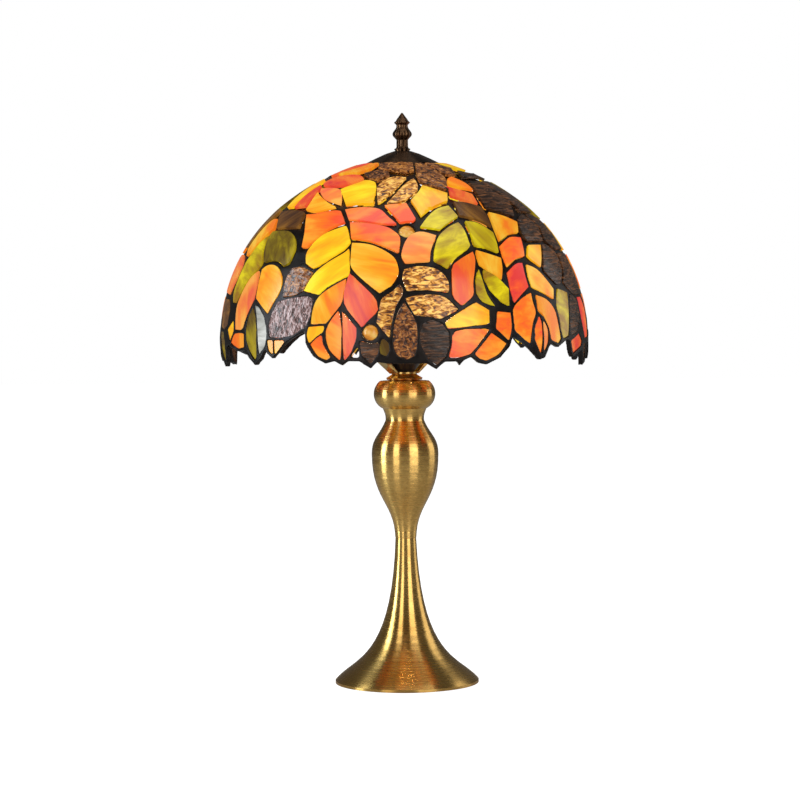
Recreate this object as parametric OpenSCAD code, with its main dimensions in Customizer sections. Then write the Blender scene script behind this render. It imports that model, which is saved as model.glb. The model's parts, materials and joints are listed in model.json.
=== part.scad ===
// Table lamp with a stained glass dome shade on a turned brass base.
// Millimetres, +Z up, origin at the centre of the underside.

/* [Shade] */
// Diameter of the shade at its widest ring
shade_d = 300; // [270:1:340]
// Height of the shade's widest ring above the table
widest_z = 283; // [275:1:300]
// Thickness of the sheet glass
glass_t = 3; // [2:0.25:3.5]
// Thickness of the solder lattice
lead_t = 4; // [3:0.25:5]
// Gap of copper foil between a pane and the solder
foil = 0.3; // [0.2:0.05:0.5]
// Diameter of the round glass jewels
jewel_d = 11.5; // [9:0.5:12.5]
// Diameter of the hole at the crown
crown_d = 60; // [54:1:64]

/* [Base] */
// Diameter of the foot at its rim
foot_d = 119; // [100:1:150]
// Height of the foot's waist
foot_h = 121; // [105:1:135]
// Diameter of the foot at its waist
waist_d = 17.2; // [16.5:0.1:20]
// Height of the ring between the foot and the body
ring_h = 5.5; // [4:0.5:8]
// Greatest diameter of the body
body_d = 55.2; // [46:0.2:66]
// Height of the body
body_h = 102; // [90:1:110]
// Diameter of the ball on the neck
ball_d = 51; // [46:0.5:58]
// Height of the ball on the neck
ball_h = 23.5; // [20:0.5:26]
// Height of the collar on top of the ball
collar_h = 5; // [4:0.5:7]
// Wall of the turned brass pieces
wall = 2; // [1.6:0.1:2.6]
// Thickness of the felt under the foot
felt_t = 1.5; // [1:0.5:3]
// Thickness of the cover plate above the felt
plate_t = 1; // [0.8:0.1:1.5]
// Diameter of the cast weight in the foot
weight_d = 78; // [66:1:80]
// Thickness of the cast weight in the foot
weight_t = 9; // [6:0.5:10]

/* [Pipe and socket] */
// Outside diameter of the threaded pipe
pipe_d = 10; // [9:0.1:11]
// Bore of the threaded pipe
pipe_bore = 7; // [6:0.1:7.5]
// Diameter of the lamp socket
socket_d = 35; // [33:0.5:38]
// Length of the socket's straight body
socket_h = 30; // [28:0.5:34]
// Inside diameter of the threaded shell, for an E27 cap
shell_bore = 27.4; // [27.2:0.1:28]
// Diameter of the bulb's cap
cap_d = 26.4; // [26:0.1:26.8]
// Diameter of the bulb
bulb_d = 60; // [45:1:64]
// Height of the bulb above the socket
bulb_h = 80; // [70:1:84]
// Bore of the cable outlet
outlet_d = 6.4; // [5:0.1:6.6]

/* [Harp] */
// Diameter of the harp's rod
rod_d = 4; // [3.5:0.1:4.5]
// Half of the harp's width
harp_r = 48; // [44:1:54]
// Half of the distance between the ferrules
saddle_r = 24.75; // [24:0.25:27]
// Length of a ferrule
ferrule_h = 16; // [12:0.5:18]
// Angle of the harp about the upright axis
harp_turn = 40; // [0:5:90]
// Radial clearance of a ferrule on the rod
slide_gap = 0.06; // [0.03:0.01:0.1]
// Diameter of the stud that carries the shade
stud_d = 6.2; // [5.8:0.1:6.6]

/* [Cap and finial] */
// Diameter of the vase cap over the crown
cap_brim_d = 62; // [60:1:70]
// Height of the vase cap
cap_h = 12.6; // [10.4:0.2:15]
// Number of vent holes in the cap
vents = 12; // [6:1:18]
// Diameter of a vent hole
vent_d = 2.2; // [1.5:0.1:3]
// Height of the finial
finial_h = 30.6; // [27:0.2:38]
// Diameter of the finial's knob
knob_d = 15.6; // [13:0.2:20]

/* [Hidden] */
$fn = 72;

// Clearance of a plain round fit, on the radius
fit = 0.1;

// ---- Heights of the stack
foot_z = felt_t - 0.7;
ring_z = foot_h;
body_z = ring_z + ring_h;
ball_z = body_z + body_h;
collar_z = ball_z + ball_h;
saddle_z = collar_z + collar_h;
strip_t = 1.5;
socket_z = saddle_z + strip_t;
cone_h = 11.5;
shell_z = socket_z + cone_h;
pipe_top = socket_z + 5;
rod_end = shell_z + 9;
bulb_z = shell_z + 7.5;
bulb_neck = shell_z + socket_h;

// ---- The dome: two arcs of revolution. A place on it is [azimuth, slope]; the slope is the angle of the
// surface's normal above the horizontal, 0 at the widest ring and about 74 at the crown.
low_r = 0.92 * shade_d / 2;
top_r = 1.28 * shade_d / 2;
join_slope = 52;
low_c = [shade_d / 2 - low_r, widest_z];
top_c = low_c + (low_r - top_r) * [cos(join_slope), sin(join_slope)];
function rz(s, out = 0) = s <= join_slope
    ? low_c + (low_r + out) * [cos(s), sin(s)]
    : top_c + (top_r + out) * [cos(s), sin(s)];
function on_dome(p) = let (q = rz(p[1])) [q[0] * sin(p[0]), -q[0] * cos(p[0]), q[1]];
crown_slope = acos((crown_d / 2 - top_c[0]) / top_r);
crown_z = rz(crown_slope)[1];

// ---- Heights at the crown
ring_top = crown_z + 2;
cap_z = ring_top;
cap_top = cap_z + cap_h;
shoulder_z = cap_top - 1.2;
harp_top = crown_z - 3.5;
washer_t = 1;
finial_z = cap_top + washer_t;

// ---- The pattern. Each pane of one half is [glass, corners]; the other half repeats it at 180 degrees.
PANES = [
["amber", [[-53.5, 25.5], [-51.8, 26.6], [-49.5, 27], [-47, 26.6], [-45, 25.3], [-43, 23], [-42, 20.5],
  [-42.5, 17.5], [-46, 11], [-52.5, 16]]],
["peach", [[-55.5, 25], [-54, 20], [-54, 15.5], [-56.4, 10.8], [-58.2, 6.2], [-60, 5.5], [-63.3, 5.5],
  [-64, 12.5], [-62.5, 16.5], [-60.5, 20.5], [-58.3, 23.2]]],
["orange", [[-64, 3.6], [-60, 4], [-57.7, 3.8], [-57.5, 0], [-61, -0.5], [-66.5, 1]]],
["yellow", [[-65.5, 8], [-64.9, 5], [-67.5, 1.8], [-69.8, 5.2]]],
["olive", [[-53.5, 12.3], [-55.2, 9], [-55.9, 5], [-55.7, 2], [-54, -1.3], [-51.5, -4.3], [-50.7, -3],
  [-50.6, 0], [-50.8, 5], [-51.8, 9.5]]],
["opal", [[-52.3, 13.2], [-50.8, 12.6], [-47.6, 9.5], [-46.2, 6], [-45.9, 3], [-46.7, 0.2], [-49.3, -2.3],
  [-49.6, 0], [-49.8, 5], [-50.8, 9.5]]],
["mauve_ripple", [[-41, 14.6], [-31.8, 16.2], [-29, 15.4], [-29.5, 9.7], [-30.7, 6.8], [-35.2, 4.1],
  [-39.6, 3.3], [-44.2, 3.2], [-44.7, 6], [-44.2, 9.2], [-42.4, 13.2]]],
["brown_ripple", [[-38.6, 25.7], [-35, 26], [-30.6, 24.3], [-33, 18.2], [-36.2, 17], [-40.1, 16.5],
  [-40.2, 20.8], [-39.7, 24]]],
["yellow", [[-45.2, 1.9], [-43.2, 1.9], [-43.2, -2.2], [-44.6, -1]]],
["yellow", [[-42.2, 1.9], [-38.3, 1.9], [-40, 0.2], [-42.2, -2.2]]],
["yellow", [[-29.3, 6.3], [-24.5, 6.7], [-24.8, 5.2], [-27, 3.7], [-29.2, 1.6], [-29.8, 4]]],
["orange", [[-28.6, 0.9], [-26.8, 2.6], [-25.2, 3.7], [-24.8, 0.8], [-22.6, -3], [-23.8, -3.7],
  [-26.3, -2.5]]],
["orange", [[-20, 11.4], [-22.2, 8.2], [-23.4, 5.2], [-23.3, 2.4], [-22.3, -0.8], [-19.4, -4], [-19, 0.5],
  [-19, 6], [-19.6, 9.7]]],
["red_orange", [[-18.7, 11.2], [-16.8, 8.9], [-14.4, 6], [-14.6, 2.5], [-16.1, -1.6], [-18, -4],
  [-18.2, 0.3],
  [-18.1, 4.6], [-18.4, 8.9]]],
["amber", [[-28.6, 7.6], [-28.2, 11.8], [-27, 15.3], [-24.4, 18], [-18.4, 21.9], [-18.9, 17], [-19.6, 13.6],
  [-23.8, 7.9]]],
["yellow", [[-32.2, 18.3], [-29.8, 23.3], [-26, 27], [-20.8, 30.6], [-18.9, 32.4], [-18.3, 28], [-17.7, 25],
  [-17.9, 23.4], [-22, 21.2], [-24.8, 19.4], [-27, 17.2]]],
["yellow", [[-34.4, 31.8], [-30.6, 37.6], [-22.8, 41.2], [-21.6, 40.6], [-19.2, 35.2], [-20.8, 32.6],
  [-25, 29.6], [-28.8, 26.8], [-30.7, 26], [-33.6, 27.6]]],
["orange", [[-44.2, 46.8], [-39.5, 47], [-31, 48.3], [-27.4, 48], [-23.6, 43.2], [-31, 39.4], [-35.7, 33.6],
  [-37.8, 33.6], [-39, 38.5], [-41.4, 43]]],
["amber", [[-51.8, 56.8], [-47.8, 51.7], [-47.3, 49.6], [-40.5, 48.7], [-31.4, 50.4], [-38, 52.6],
  [-46.6, 55.2]]],
["peach", [[-53, 58.4], [-38, 57.8], [-32.6, 55], [-29.7, 51.9], [-34.4, 52.9], [-41, 54.3],
  [-48.4, 56.4]]],
["red_orange", [[-60.6, 60.2], [-55.4, 58.6], [-49.6, 51.4], [-58.4, 51], [-60.8, 55.5]]],
["yellow", [[-76, 63.6], [-67, 62.2], [-63, 56.5], [-61, 51.2], [-66.5, 51.2], [-71, 55], [-77, 60]]],
["red_orange", [[-60, 61.7], [-57, 63.8], [-46, 64.8], [-34, 64.6], [-27, 62.7], [-31.4, 61.2],
  [-38.5, 59.7], [-54, 60]]],
["amber", [[-62, 66.2], [-38, 66.4], [-31.5, 68.6], [-31.5, 72.6], [-38, 72.6], [-50, 69.2]]],
["red_orange", [[-74, 65.6], [-65, 66.2], [-53, 69.8], [-41, 72.7], [-54, 72.8], [-68, 70.8]]],
["yellow", [[-36, 57.8], [-29, 60], [-24.5, 61.6], [-20.5, 61.3], [-16, 59.4], [-13.8, 51.9],
  [-26.7, 51.8]]],
["gold_ripple", [[-11.6, 52.4], [-13.3, 56.8], [-13.8, 59], [-10.8, 61.6], [-5, 63.4], [2, 63],
  [-3.6, 58.6], [-8.2, 54.6]]],
["gold_ripple", [[-7, 51.8], [-3.3, 55.4], [1.7, 59.8], [6.6, 62.2], [8, 60], [7.1, 57], [2, 53.8],
  [-3, 52.2]]],
["brown_ripple", [[-30.6, 65.8], [-24, 63.2], [-17, 62.5], [-10, 64.4], [-12, 66.4], [-22, 67.2]]],
["brown_ripple", [[-26, 72.6], [-22.4, 68.9], [-10, 67.8], [3, 66.4], [9, 67.4], [11.6, 72.6]]],
["brown_ripple", [[10.6, 64], [16, 72.4], [23, 72.4], [28.4, 66], [28.3, 62], [24, 57.4], [17, 58.9],
  [11.6, 60.8]]],
["yellow", [[11, 58.8], [22.6, 55.5], [20.6, 52.6], [13.8, 50.5], [7.3, 45.6], [4, 52.8], [8.3, 56]]],
["orange", [[-7.8, 50.5], [1.4, 51.3], [4.6, 44.4], [3.6, 43.4], [1.4, 43.6], [-1, 43]]],
["red_orange", [[-25.3, 48.8], [-17.8, 49.6], [-10.4, 48.6], [-6.3, 45.3], [-2.8, 42.3], [-7.6, 42.4],
  [-15, 43.8], [-21.8, 44.4]]],
["orange", [[-20.9, 43], [-15, 42.5], [-7.6, 41], [-4.4, 39.6], [-1.4, 36.6], [-1.8, 31.2], [-7.5, 34],
  [-12.3, 35.8], [-18.6, 36.6]]],
["amber", [[-18, 34.7], [-12, 34], [-7.3, 32], [-3.4, 29.2], [-2, 26], [-2, 23.5], [-3.9, 20], [-7.5, 17.6],
  [-12, 21.4], [-16.6, 25.8], [-17.5, 30]]],
["red_orange", [[-17.2, 23.8], [-9.5, 16.3], [-8.2, 13.2], [-8.4, 11.3], [-12.6, 6.6], [-17.9, 14],
  [-17.8, 21]]],
["gold_ripple", [[-1.3, 20], [-0.6, 18.5], [-0.8, 16.7], [-2.9, 12.9], [-3.9, 7.5], [-4.3, 3], [-8, 8],
  [-7, 13], [-6.3, 15.5], [-3.5, 17.6]]],
["brown_ripple", [[0, 14], [-1.7, 10.8], [-2.9, 6], [-3, 1.6], [-2.6, -1], [-1.6, -2.6], [0.8, -3.7],
  [2.8, -2.6], [3.5, 1], [3.4, 7.2], [1.8, 10.8]]],
["gold_ripple", [[0.4, 25], [4.9, 25.9], [9.5, 25.2], [12.3, 23.3], [13.7, 20.5], [13.6, 17.6], [7, 18.6],
  [1, 18.3], [-0.2, 22.3]]],
["gold_ripple", [[0.6, 15.4], [4, 16.3], [9.8, 16.3], [13, 15], [16, 11.8], [10.8, 9.2], [7.2, 10],
  [3.3, 10.4]]],
["dark", [[8.1, 8.4], [11, 7.1], [12.9, 4.2], [13.1, 0.5], [12, -3], [9.4, -5.6], [7, -3.4], [5, 1],
  [4.8, 4.6], [5.8, 7.2]]],
["dark", [[-13, 1.8], [-10, 1], [-7.5, 1.2], [-8.1, -2], [-10, -5], [-12.4, -2.2]]],
["olive", [[-7, 0], [-6.4, 2.6], [-4.9, 1.4], [-4.6, -0.8], [-5.4, -2.6], [-6.9, -1.8]]],
["amber", [[-13.8, 0], [-13.6, -3], [-15.8, -3]]],
["yellow", [[12.3, 7.6], [16, 10.2], [22, 13.7], [26, 11.3], [25.8, 7.3], [20, 6.7], [16, 6.2], [13, 6]]],
["orange", [[14.3, 3], [15.2, 4.5], [18.5, 5.2], [25.8, 5.2], [22.5, 1.2], [19.6, -2.2], [15.7, -3.3],
  [13.3, -3.3], [14.2, 0.2]]],
["orange", [[26.6, 3.8], [31.4, 0.5], [28.7, -2.6], [25, -4.4], [22.9, -3.8], [21.3, -2.5]]],
["orange", [[29.2, 10.7], [33.4, 10.2], [33.4, 5.7], [32.5, 1.8], [28.4, 5.7]]],
["olive_yellow", [[24.6, 24.6], [23.2, 21], [22.9, 17.2], [24.4, 14.4], [28.2, 12.8], [26, 16.7],
  [25.2, 21]]],
["olive_yellow", [[26.4, 24.6], [30.5, 22], [33.9, 18.3], [33.3, 12.9], [31, 14], [27.7, 17.9],
  [26.2, 21.8]]],
["amber", [[25.5, 31.5], [33.8, 28.7], [33.2, 25], [32.1, 21.6], [25.6, 26.4], [25.3, 29]]],
["orange", [[15.9, 25.2], [18.2, 27.8], [23.8, 31], [24, 28.5], [23.1, 25], [21.7, 20.5], [21.3, 16.5],
  [18.2, 13.6], [17.2, 13.4], [15.1, 16.7]]],
["olive_yellow", [[21.5, 42.5], [17, 40.3], [12.9, 36.8], [10.7, 32], [10.1, 28.2], [14.2, 25.5],
  [16.8, 28.9], [22.6, 32.7], [23.1, 35], [22.7, 40]]],
["peach", [[1.6, 36.1], [5.8, 38.6], [11.6, 37.2], [9, 32], [8.4, 28.1], [0.6, 27.5], [-0.5, 30.5]]],
["olive_yellow", [[6.6, 41], [11, 45.8], [15, 48.6], [20, 50], [22.2, 45.2], [17.5, 42.8], [13.7, 40]]],
["red_orange", [[26.4, 57.8], [33, 56.4], [36.8, 55.2], [35.6, 51.4], [28, 53.6], [24.2, 54.6]]],
["amber", [[30.2, 61.8], [35.5, 63.2], [40.3, 60.2], [40.6, 57.4], [33.5, 58.4], [28, 59.6]]],
["brown", [[24, 52.2], [30, 51.5], [36, 49.5], [36, 45], [35.4, 41], [31.5, 43.8], [23.8, 45.8]]],
["olive_yellow", [[25, 43], [30, 42], [34.6, 38.3], [34.3, 34.5], [33.8, 31], [29.5, 32.8], [25.4, 33.6],
  [25.5, 38]]],
["amber", [[38.6, 47], [46, 45], [51, 42.8], [47.6, 38.7], [42.5, 38.2], [36.5, 35.3], [37.1, 40.5]]],
["orange", [[36, 33.3], [41.5, 36.2], [47.2, 36.3], [45.8, 32.5], [44.6, 29.6], [40.5, 28.8], [35.8, 25.8],
  [35.6, 29.5]]],
["red_orange", [[35.4, 23.6], [39.5, 26.4], [42.4, 26.8], [41.9, 22.5], [42.1, 18.9], [39.2, 16.9],
  [35.6, 13.8], [35.1, 18.5]]],
["amber", [[44.6, 26.2], [48.7, 24.4], [52, 20.8], [54.3, 18], [53.2, 14.8], [48.3, 17.2], [44.1, 18.8],
  [43.9, 22.3]]],
["orange", [[35, 11.3], [38.4, 14.5], [42.8, 16.6], [42.9, 13.5], [43.4, 10.2], [41.8, 7.2], [41, 3.2],
  [40.7, 0.7], [38.5, 1.9], [34.9, 5]]],
["amber", [[45.1, 15.9], [49.7, 14.2], [52.7, 10.9], [53.8, 6.5], [55, 1.7], [53.8, 0.4], [50.1, 1.6],
  [49.4, 5.3], [47.2, 9.3], [45, 11]]],
["orange", [[45, 8.8], [43, 5.3], [42.8, 1.7], [45.2, -2.8], [45.7, 1.6], [45.7, 6.5]]],
["peach", [[46.7, 7.6], [48.3, 4.6], [48.2, 0.8], [46.6, -2.4], [46.9, 1.6]]],
["yellow", [[49.8, 33.3], [57, 33.5], [53.5, 29], [51.2, 25.8], [48, 28.2], [46.9, 29.6]]],
["olive_yellow", [[57.3, 17.8], [62.8, 16.5], [61.6, 12], [60.5, 6.5], [59.8, 2.6], [56.7, 1.8], [55.6, 5],
  [54.7, 12.3], [55.8, 15.5]]],
["dark", [[41.6, 55.6], [46.2, 61.2], [56, 61.2], [59.6, 52.5], [52.4, 45.7], [46, 47.2], [39, 49.8]]],
["dark", [[58.2, 61.2], [74, 61.2], [79.6, 54], [74, 47.6], [62.2, 48.2], [62, 52.5]]],
["dark", [[53.2, 43.6], [60.6, 46.6], [65.4, 41], [60.6, 35.4], [50.4, 35.2], [49.8, 38.4]]],
["dark", [[62.8, 46.2], [74, 45.6], [79.6, 40], [78.6, 32.4], [68, 32.4], [62.9, 35.6], [67.4, 41]]],
["dark", [[58.8, 33.6], [61.2, 33.5], [66.2, 30.8], [64.6, 25], [60, 20.2], [56.9, 19.8], [53.2, 23.6],
  [53.2, 26]]],
["dark", [[68.2, 30.4], [78.6, 30.4], [80, 22], [78.6, 16.4], [69.2, 16.2], [64.6, 18.2], [62.4, 20.2],
  [66.8, 25]]],
["dark", [[65, 15.8], [69.6, 14.4], [70, 8.4], [66.8, 3.8], [62, 2.8], [61.9, 6.5], [63, 12]]],
["red_orange", [[76, 14.8], [80, 9.5], [81, 1.8], [75, 1.5], [72.2, 8], [71.8, 14.8]]],
["red_orange", [[68, 2.6], [70.8, 0.4], [70.2, -1.1], [63.2, -3.2], [61.8, 0.5]]],
["dark", [[72.8, -0.8], [76.8, -0.8], [76, -4.6], [74, -6.6]]],
["yellow", [[46, 72.6], [70, 72.6], [86, 72.6], [88, 68.4], [70, 67.6], [56, 69.4]]],
["brown_ripple", [[31.2, 65.6], [29, 72.4], [40, 72.4], [51, 68.8], [42, 64.6], [36, 64.9]]],
["dark", [[46, 63.6], [54, 67.2], [68, 65.8], [86, 66.4], [81, 63.2]]],
["brown", [[-68, 48.8], [-58, 49.1], [-48.6, 48.3], [-46.8, 47], [-44.2, 41.4], [-58.2, 41.4],
  [-62.6, 45]]],
["olive", [[-59.4, 39.8], [-48.7, 39.6], [-43.5, 36.8], [-40.8, 32.5], [-41.3, 27.8], [-43.3, 26.8],
  [-46.5, 28.6], [-50.4, 29.1], [-54.2, 28.4], [-57, 32], [-59.6, 37]]],
["olive_yellow", [[-61, 37.9], [-58.4, 32], [-55.7, 28.3], [-56.2, 26.2], [-60.6, 22.2], [-64, 16.6],
  [-65.4, 14.3], [-68, 14.3], [-69.8, 18], [-68.7, 24], [-68, 28], [-66.6, 31], [-64.2, 35.5]]],
["amber", [[-65, 45.3], [-61, 41.1], [-64.6, 37.6], [-68, 32.8], [-71.3, 30.8], [-74.6, 33.5], [-73.3, 40],
  [-70, 44.6]]],
["brown", [[-81, 50.2], [-72, 49.8], [-73, 46.5], [-76.6, 40], [-78, 34], [-84, 34], [-85, 42]]],
["peach", [[-73.8, 29], [-71.4, 26.4], [-72.3, 21], [-75, 17.2], [-84, 18], [-84, 30], [-79, 31]]],
["brown", [[-72.6, 14.6], [-70.6, 11.6], [-71, 7], [-75, 5.4], [-80, 6.4], [-82.6, 15.4], [-77, 15.2]]],
["olive", [[-81, 4.2], [-76, 4], [-73.2, 1], [-72.6, -4], [-74, -5.8], [-79, -1]]],
["olive", [[82.2, 61], [90, 61.6], [97, 61], [97, 53], [91.6, 45], [83, 45], [82.6, 54]]],
["amber", [[83, 42.8], [91.6, 42.8], [92.6, 37], [93.4, 32], [82.6, 32], [83.2, 38]]],
["orange", [[82.8, 30], [93.6, 30], [93.6, 18.4], [83, 18], [84, 23]]],
["peach", [[80.8, 15.6], [95, 16], [97, 6.6], [92, 5], [84, 3.4], [83.4, 9.5]]],
["red_orange", [[84, 1.2], [88, 2.2], [92.6, 3], [90, -2], [87, -4.6]]],
];
// Lower edge of the solder on one half, from one seam to the other
EDGE = [[-90, -4], [-86, 2], [-82.6, 1.6], [-79, -3], [-74, -7.6], [-71.2, -5.4], [-71, -1], [-69, 0],
  [-66, -0.8], [-61, -2], [-57.2, -1.6], [-55, -3.4], [-51.4, -6.4], [-48.5, -4.4], [-46.2, -1.2],
  [-45.4, -2.4], [-43, -4], [-40.5, -1.6], [-38.2, 0.8], [-35.6, 2.4], [-31, 4.8], [-30.4, 0.8], [-28, -3],
  [-24, -5.4], [-21, -4.6], [-18.6, -6], [-16.8, -4.6], [-13.4, -4.6], [-10, -7], [-8, -4.8], [-5, -5.4],
  [-1.6, -5.4], [2, -5.6], [6.4, -5.4], [9.4, -7.4], [12, -5], [15.6, -5], [16.4, -6.4], [17.8, -4.6],
  [20, -3.6], [22.4, -5.6], [25, -6.2], [29.6, -4], [33, -0.4], [34, 2.6], [37.6, 0.6], [40.4, -1.4],
  [44.8, -5.2], [47, -4.6], [49, -1.2], [50.2, 0], [53.6, -1.4], [56, -0.2], [58.4, 0.8], [60.2, 0.6],
  [61.4, -3.4], [63, -5], [67, -3.8], [71, -2.8], [73.4, -8], [76.6, -7], [78.2, -1.6], [80.4, 0],
  [82.8, -0.8], [86.6, -6.4]];
// Places of the round jewels
JEWELS = [[1.3, 40], [-10, 4.7]];
HALVES = [0, 180];

// Outline of the finial above its foot, as parts of the knob's radius and the finial's height
FINIAL_LINE = [[0.61, 0.27], [0.67, 0.29], [0.9, 0.355], [0.98, 0.39], [1, 0.425], [0.97, 0.46],
    [0.87, 0.506], [0.76, 0.545], [0.67, 0.574], [0.6, 0.613], [0.59, 0.668], [0.74, 0.706], [0.82, 0.73],
    [0.8, 0.745], [0.66, 0.774], [0.51, 0.84], [0.28, 0.92], [0.1, 0.985], [0, 1]];

// ---- Small geometry functions
function total(list, i = 0) = i == len(list) - 1 ? list[i] : list[i] + total(list, i + 1);
function mean(list) = total(list) / len(list);
function unit(v) = v / norm(v);
function after(i, list) = (i + 1) % len(list);
function before(i, list) = (i + len(list) - 1) % len(list);
function area(p) = total([for (i = [0:len(p) - 1]) cross(p[i], p[after(i, p)])]) / 2;
function spin(p) = total([for (i = [0:len(p) - 1]) cross(p[i], p[after(i, p)])]);
function outward(n, c) = n * [c[0], c[1], 60] < 0 ? -n : n;
// Frame of the flat plane through a pane's corners: [centre, right, up, normal]
function plane(c) = let (m = mean(c), n = outward(unit(spin([for (q = c) q - m])), m),
    r = unit(cross([0, 0, 1], n))) [m, r, cross(n, r), n];
function flat(c, f) = [for (q = c) [(q - f[0]) * f[1], (q - f[0]) * f[2]]];
// A polygon moved outward by d
function side_normal(p, i) = let (e = unit(p[after(i, p)] - p[i])) sign(area(p)) * [e[1], -e[0]];
function grown(p, d) = [for (i = [0:len(p) - 1])
    let (a = side_normal(p, before(i, p)), b = side_normal(p, i)) p[i] + d * (a + b) / (1 + a * b)];
function bezier(p, t) = pow(1 - t, 3) * p[0] + 3 * pow(1 - t, 2) * t * p[1]
    + 3 * (1 - t) * t * t * p[2] + pow(t, 3) * p[3];
function curve(p, n = 12) = [for (i = [0:n]) bezier(p, i / n)];

module turned(points) rotate_extrude() polygon(points);
module tube(outer, inner, z, h) translate([0, 0, z]) difference() {
    cylinder(r = outer, h = h);
    translate([0, 0, -1]) cylinder(r = inner, h = h + 2);
}
module at_plane(f) multmatrix([
    [f[1][0], f[2][0], f[3][0], f[0][0]],
    [f[1][1], f[2][1], f[3][1], f[0][1]],
    [f[1][2], f[2][2], f[3][2], f[0][2]],
    [0, 0, 0, 1]]) children();

// ---- Shade
module panes(kind) for (turn = HALVES) rotate([0, 0, turn])
    for (p = PANES) if (p[0] == kind) {
        corners = [for (q = p[1]) on_dome(q)];
        f = plane(corners);
        at_plane(f) translate([0, 0, -glass_t / 2]) linear_extrude(glass_t) polygon(flat(corners, f));
    }
module windows() for (turn = HALVES) rotate([0, 0, turn])
    for (p = PANES) {
        corners = [for (q = p[1]) on_dome(q)];
        f = plane(corners);
        at_plane(f) translate([0, 0, -10]) linear_extrude(20) polygon(grown(flat(corners, f), foil));
    }
module at_jewels() for (turn = HALVES, j = JEWELS) rotate([0, 0, turn + j[0]]) {
    q = rz(j[1]);
    translate([0, -q[0], q[1]]) rotate([90 - j[1], 0, 0]) children();
}
module jewel() turned([for (i = [-6:6]) jewel_d / 2 * [cos(i * 15), 0.62 * sin(i * 15)]]);
module below_edge() {
    low = widest_z - 40;
    ring = [for (turn = HALVES, e = EDGE) [e[0] + turn, rz(e[1])]];
    n = len(ring);
    function spot(e, out, z) = [(e[1][0] + out) * sin(e[0]), -(e[1][0] + out) * cos(e[0]), z];
    points = concat([for (e = ring) spot(e, 12, e[1][1])], [for (e = ring) spot(e, -12, e[1][1])],
        [for (e = ring) spot(e, 12, low)], [for (e = ring) spot(e, -12, low)]);
    faces = [for (i = [0:n - 1]) let (j = (i + 1) % n) each [
        [i, n + i, n + j], [i, n + j, j],
        [i, j, 2 * n + j], [i, 2 * n + j, 2 * n + i],
        [n + i, 3 * n + i, 3 * n + j], [n + i, 3 * n + j, n + j],
        [2 * n + i, 2 * n + j, 3 * n + j], [2 * n + i, 3 * n + j, 3 * n + i]]];
    polyhedron(points, faces);
}
module solder_lattice() color("#2b2320") difference() {
    turned(concat([for (s = [-10:6:68]) rz(s, lead_t / 2)], [rz(crown_slope, lead_t / 2)],
        [rz(crown_slope, -lead_t / 2)], [for (s = [68:-6:-10]) rz(s, -lead_t / 2)]));
    below_edge();
    windows();
    at_jewels() translate([0, 0, -10]) cylinder(d = jewel_d + 2 * foil, h = 20);
    translate([0, 0, crown_z - 10]) cylinder(d = crown_d, h = 20);
}
module glass_jewels() color("#d98a1c") at_jewels() jewel();
module glass_amber() color("#f5a623") panes("amber");
module glass_yellow() color("#f2d338") panes("yellow");
module glass_orange() color("#ee7f27") panes("orange");
module glass_red_orange() color("#e8562b") panes("red_orange");
module glass_peach() color("#f0a070") panes("peach");
module glass_olive() color("#8a8420") panes("olive");
module glass_olive_yellow() color("#c9b023") panes("olive_yellow");
module glass_brown() color("#7a3f17") panes("brown");
module glass_brown_ripple() color("#5a3013") panes("brown_ripple");
module glass_gold_ripple() color("#b5762a") panes("gold_ripple");
module glass_mauve_ripple() color("#9a6a64") panes("mauve_ripple");
module glass_dark() color("#2f2014") panes("dark");
module glass_opal() color("#d5d2c6") panes("opal");
module crown_ring() color("#6b4a24")
    tube(crown_d / 2 - fit, crown_d / 2 - 3.2, crown_z - 3, ring_top - crown_z + 3);
module vase_cap() color("#3a2a20") difference() {
    brim = cap_brim_d / 2;
    turned([[brim, cap_z], [brim, cap_z + 2.1], [brim - 0.8, cap_z + 2.7],
        [0.73 * brim, cap_z + 0.51 * cap_h], [14, cap_z + 0.82 * cap_h], [7, cap_top],
        [stud_d / 2 + fit, cap_top], [stud_d / 2 + fit, shoulder_z], [6.2, shoulder_z],
        [13.2, cap_z + 0.82 * cap_h - 1.5],
        [0.7 * brim, cap_z + 0.51 * cap_h - 1.5], [brim - 5, cap_z + 1], [brim - 5, cap_z]]);
    for (i = [1:vents]) rotate([0, 0, (i + 0.5) * 360 / vents]) translate([14.5, 0, cap_z])
        cylinder(d = vent_d, h = cap_h + 5, $fn = 24);
}

// ---- Finial and washer
module cap_washer() color("#3a2a20") tube(6, stud_d / 2 + fit, cap_top, washer_t);
module finial() color("#3a2a20") difference() {
    k = knob_d / 2;
    turned(concat([[0, finial_z], [6.5, finial_z], [6.6, finial_z + 0.8], [5.3, finial_z + 1.5],
        [4.8, finial_z + 2.6]],
        [for (q = FINIAL_LINE) [q[0] * k, finial_z + q[1] * finial_h]]));
    translate([0, 0, finial_z - 1]) cylinder(r = stud_d / 2 + 0.08, h = 16.5);
}

// ---- Base
foot_curve = curve([[foot_d / 2, foot_z + 2.2], [0.73 * foot_d / 2, foot_z + 20.6],
    [0.21 * foot_d / 2, foot_z + 19.2], [waist_d / 2, foot_h]], 18);
function foot_r(z, i = 0) = foot_curve[i + 1][1] >= z || i == len(foot_curve) - 2
    ? foot_curve[i][0] + (foot_curve[i + 1][0] - foot_curve[i][0])
        * (z - foot_curve[i][1]) / (foot_curve[i + 1][1] - foot_curve[i][1])
    : foot_r(z, i + 1);
plate_z = felt_t;
nut_h = 4;
washer_h = 1.2;
pipe_z = plate_z + plate_t + 0.5;
weight_z = pipe_z + 0.5 + nut_h + washer_h;
ledge_z = weight_z + weight_t;
weight_r = min(weight_d / 2, foot_r(ledge_z) - wall - 0.8);
ledge_r = weight_r - 4;
ledge_t = 3;
outlet_z = foot_z + 6.2;
flange_y = foot_d / 2 - 2.6;
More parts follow.
